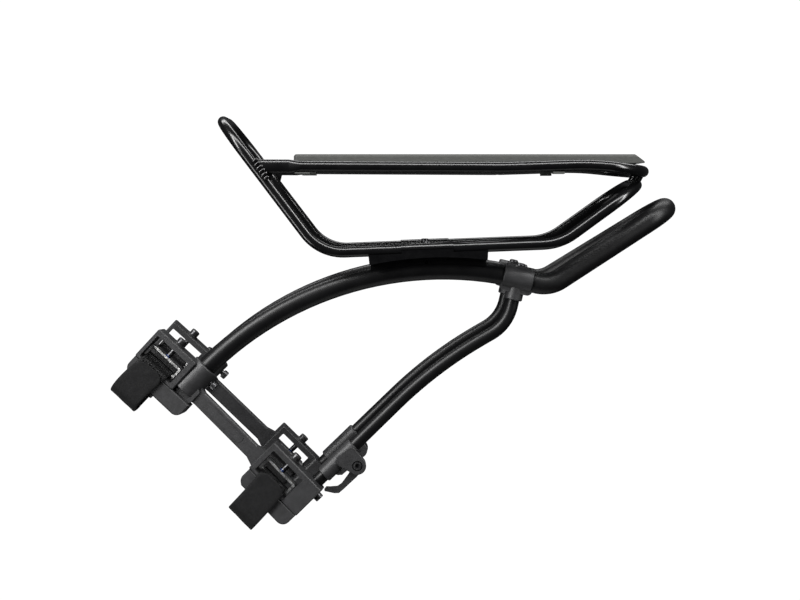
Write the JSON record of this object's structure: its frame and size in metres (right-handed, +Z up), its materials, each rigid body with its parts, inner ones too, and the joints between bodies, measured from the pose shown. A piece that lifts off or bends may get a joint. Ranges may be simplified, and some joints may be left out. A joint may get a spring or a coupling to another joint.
{
  "type": "bicycle rear rack",
  "caption": "Black rear luggage rack that straps to a bicycle's seat stays, with an arched main tube, a slotted track plate and pannier rails",
  "frame": {"origin": "midway between the two lower stay saddles, on the stays' axes", "axes": "+X to the bicycle's rear, +Y to its right, +Z up"},
  "size_m": [0.5126, 0.157, 0.3689],
  "materials": {
    "black_tube": "semi-gloss",
    "black_polymer": "matte",
    "dark_polymer": "matte",
    "black_rubber": "matte",
    "anodised_plate": "satin",
    "bright_steel": "polished",
    "black_steel": "satin",
    "black_webbing": "matte"
  },
  "bodies": {
    "frame": {"left_stay_mount": "black_polymer", "right_stay_mount": "black_polymer", "arch_tube": "black_tube", "bumper_sleeve": "black_rubber", "left_strut": "black_tube", "right_strut": "black_tube", "left_junction_clamp": "black_polymer", "right_junction_clamp": "black_polymer", "junction_bolts": "black_steel", "socket_screws": "black_steel", "left_deck_bracket": "dark_polymer", "right_deck_bracket": "dark_polymer", "left_rail_clamp": "black_polymer", "right_rail_clamp": "black_polymer", "rail_clamp_screws": "black_steel", "left_upper_saddle_pad": "black_rubber", "right_upper_saddle_pad": "black_rubber", "left_lower_saddle_pad": "black_rubber", "right_lower_saddle_pad": "black_rubber"},
    "deck": {"deck_lower_loop": "black_tube", "deck_top_loop": "black_tube", "track_plate": "anodised_plate", "front_plate_support": "anodised_plate", "rear_plate_support": "anodised_plate", "plate_screws": "black_steel", "left_front_gusset": "black_tube", "right_front_gusset": "black_tube"},
    "left_collar": {"left_hook_collar": "black_polymer", "left_hook_bolt": "black_steel"},
    "left_hook": {"left_pannier_hook": "dark_polymer"},
    "left_upper_bolt": {"left_upper_tension_bolt": "black_steel"},
    "left_upper_buckle_set": {"left_upper_buckle": "bright_steel", "left_upper_roller": "bright_steel", "left_upper_strap": "black_webbing"},
    "left_lower_bolt": {"left_lower_tension_bolt": "black_steel"},
    "left_lower_buckle_set": {"left_lower_buckle": "bright_steel", "left_lower_roller": "bright_steel", "left_lower_strap": "black_webbing"},
    "right_collar": {"right_hook_collar": "black_polymer", "right_hook_bolt": "black_steel"},
    "right_hook": {"right_pannier_hook": "dark_polymer"},
    "right_upper_bolt": {"right_upper_tension_bolt": "black_steel"},
    "right_upper_buckle_set": {"right_upper_buckle": "bright_steel", "right_upper_roller": "bright_steel", "right_upper_strap": "black_webbing"},
    "right_lower_bolt": {"right_lower_tension_bolt": "black_steel"},
    "right_lower_buckle_set": {"right_lower_buckle": "bright_steel", "right_lower_roller": "bright_steel", "right_lower_strap": "black_webbing"}
  },
  "joints": [
    {"name": "deck_slide", "type": "slide", "parent": "frame", "child": "deck", "axis": [0.9992, 0, 0.0388], "range_m": [-0.018, 0.018]},
    {"name": "left_collar_slide", "type": "slide", "parent": "frame", "child": "left_collar", "axis": [0.7155, 0.0467, 0.697], "range_m": [-0.002, 0.045]},
    {"name": "left_hook_swing", "type": "hinge", "parent": "left_collar", "child": "left_hook", "pos_m": [0.09196, -0.05026, 0.02807], "axis": [0.0335, -0.9989, 0.0326], "range_deg": [-1, 60]},
    {"name": "left_upper_bolt_spin", "type": "hinge", "parent": "frame", "child": "left_upper_bolt", "pos_m": [-0.06778, -0.05139, 0.13785], "axis": [-0.6824, -0.0022, -0.7309], "range_deg": [-180, 2160]},
    {"name": "left_upper_buckle_draw", "type": "slide", "parent": "frame", "child": "left_upper_buckle_set", "axis": [0.6824, 0.0022, 0.7309], "range_m": [-0.0004, 0.0048]},
    {"name": "left_lower_bolt_spin", "type": "hinge", "parent": "frame", "child": "left_lower_bolt", "pos_m": [0.03568, -0.06154, 0.03503], "axis": [-0.7136, 0.0008, -0.7005], "range_deg": [-180, 2160]},
    {"name": "left_lower_buckle_draw", "type": "slide", "parent": "frame", "child": "left_lower_buckle_set", "axis": [0.7136, -0.0008, 0.7005], "range_m": [-0.0004, 0.0048]},
    {"name": "right_collar_slide", "type": "slide", "parent": "frame", "child": "right_collar", "axis": [0.7155, -0.0467, 0.697], "range_m": [-0.002, 0.045]},
    {"name": "right_hook_swing", "type": "hinge", "parent": "right_collar", "child": "right_hook", "pos_m": [0.09196, 0.05026, 0.02807], "axis": [-0.0335, -0.9989, -0.0326], "range_deg": [-1, 60]},
    {"name": "right_upper_bolt_spin", "type": "hinge", "parent": "frame", "child": "right_upper_bolt", "pos_m": [-0.06778, 0.05139, 0.13785], "axis": [-0.6824, 0.0022, -0.7309], "range_deg": [-180, 2160]},
    {"name": "right_upper_buckle_draw", "type": "slide", "parent": "frame", "child": "right_upper_buckle_set", "axis": [0.6824, -0.0022, 0.7309], "range_m": [-0.0004, 0.0048]},
    {"name": "right_lower_bolt_spin", "type": "hinge", "parent": "frame", "child": "right_lower_bolt", "pos_m": [0.03568, 0.06154, 0.03503], "axis": [-0.7136, -0.0008, -0.7005], "range_deg": [-180, 2160]},
    {"name": "right_lower_buckle_draw", "type": "slide", "parent": "frame", "child": "right_lower_buckle_set", "axis": [0.7136, 0.0008, 0.7005], "range_m": [-0.0004, 0.0048]}
  ],
  "couplings": [
    {"joint": "left_upper_bolt_spin", "follows": "left_upper_buckle_draw", "rad_per_m": 7854},
    {"joint": "left_lower_bolt_spin", "follows": "left_lower_buckle_draw", "rad_per_m": 7854},
    {"joint": "right_upper_bolt_spin", "follows": "right_upper_buckle_draw", "rad_per_m": 7854},
    {"joint": "right_lower_bolt_spin", "follows": "right_lower_buckle_draw", "rad_per_m": 7854}
  ]
}
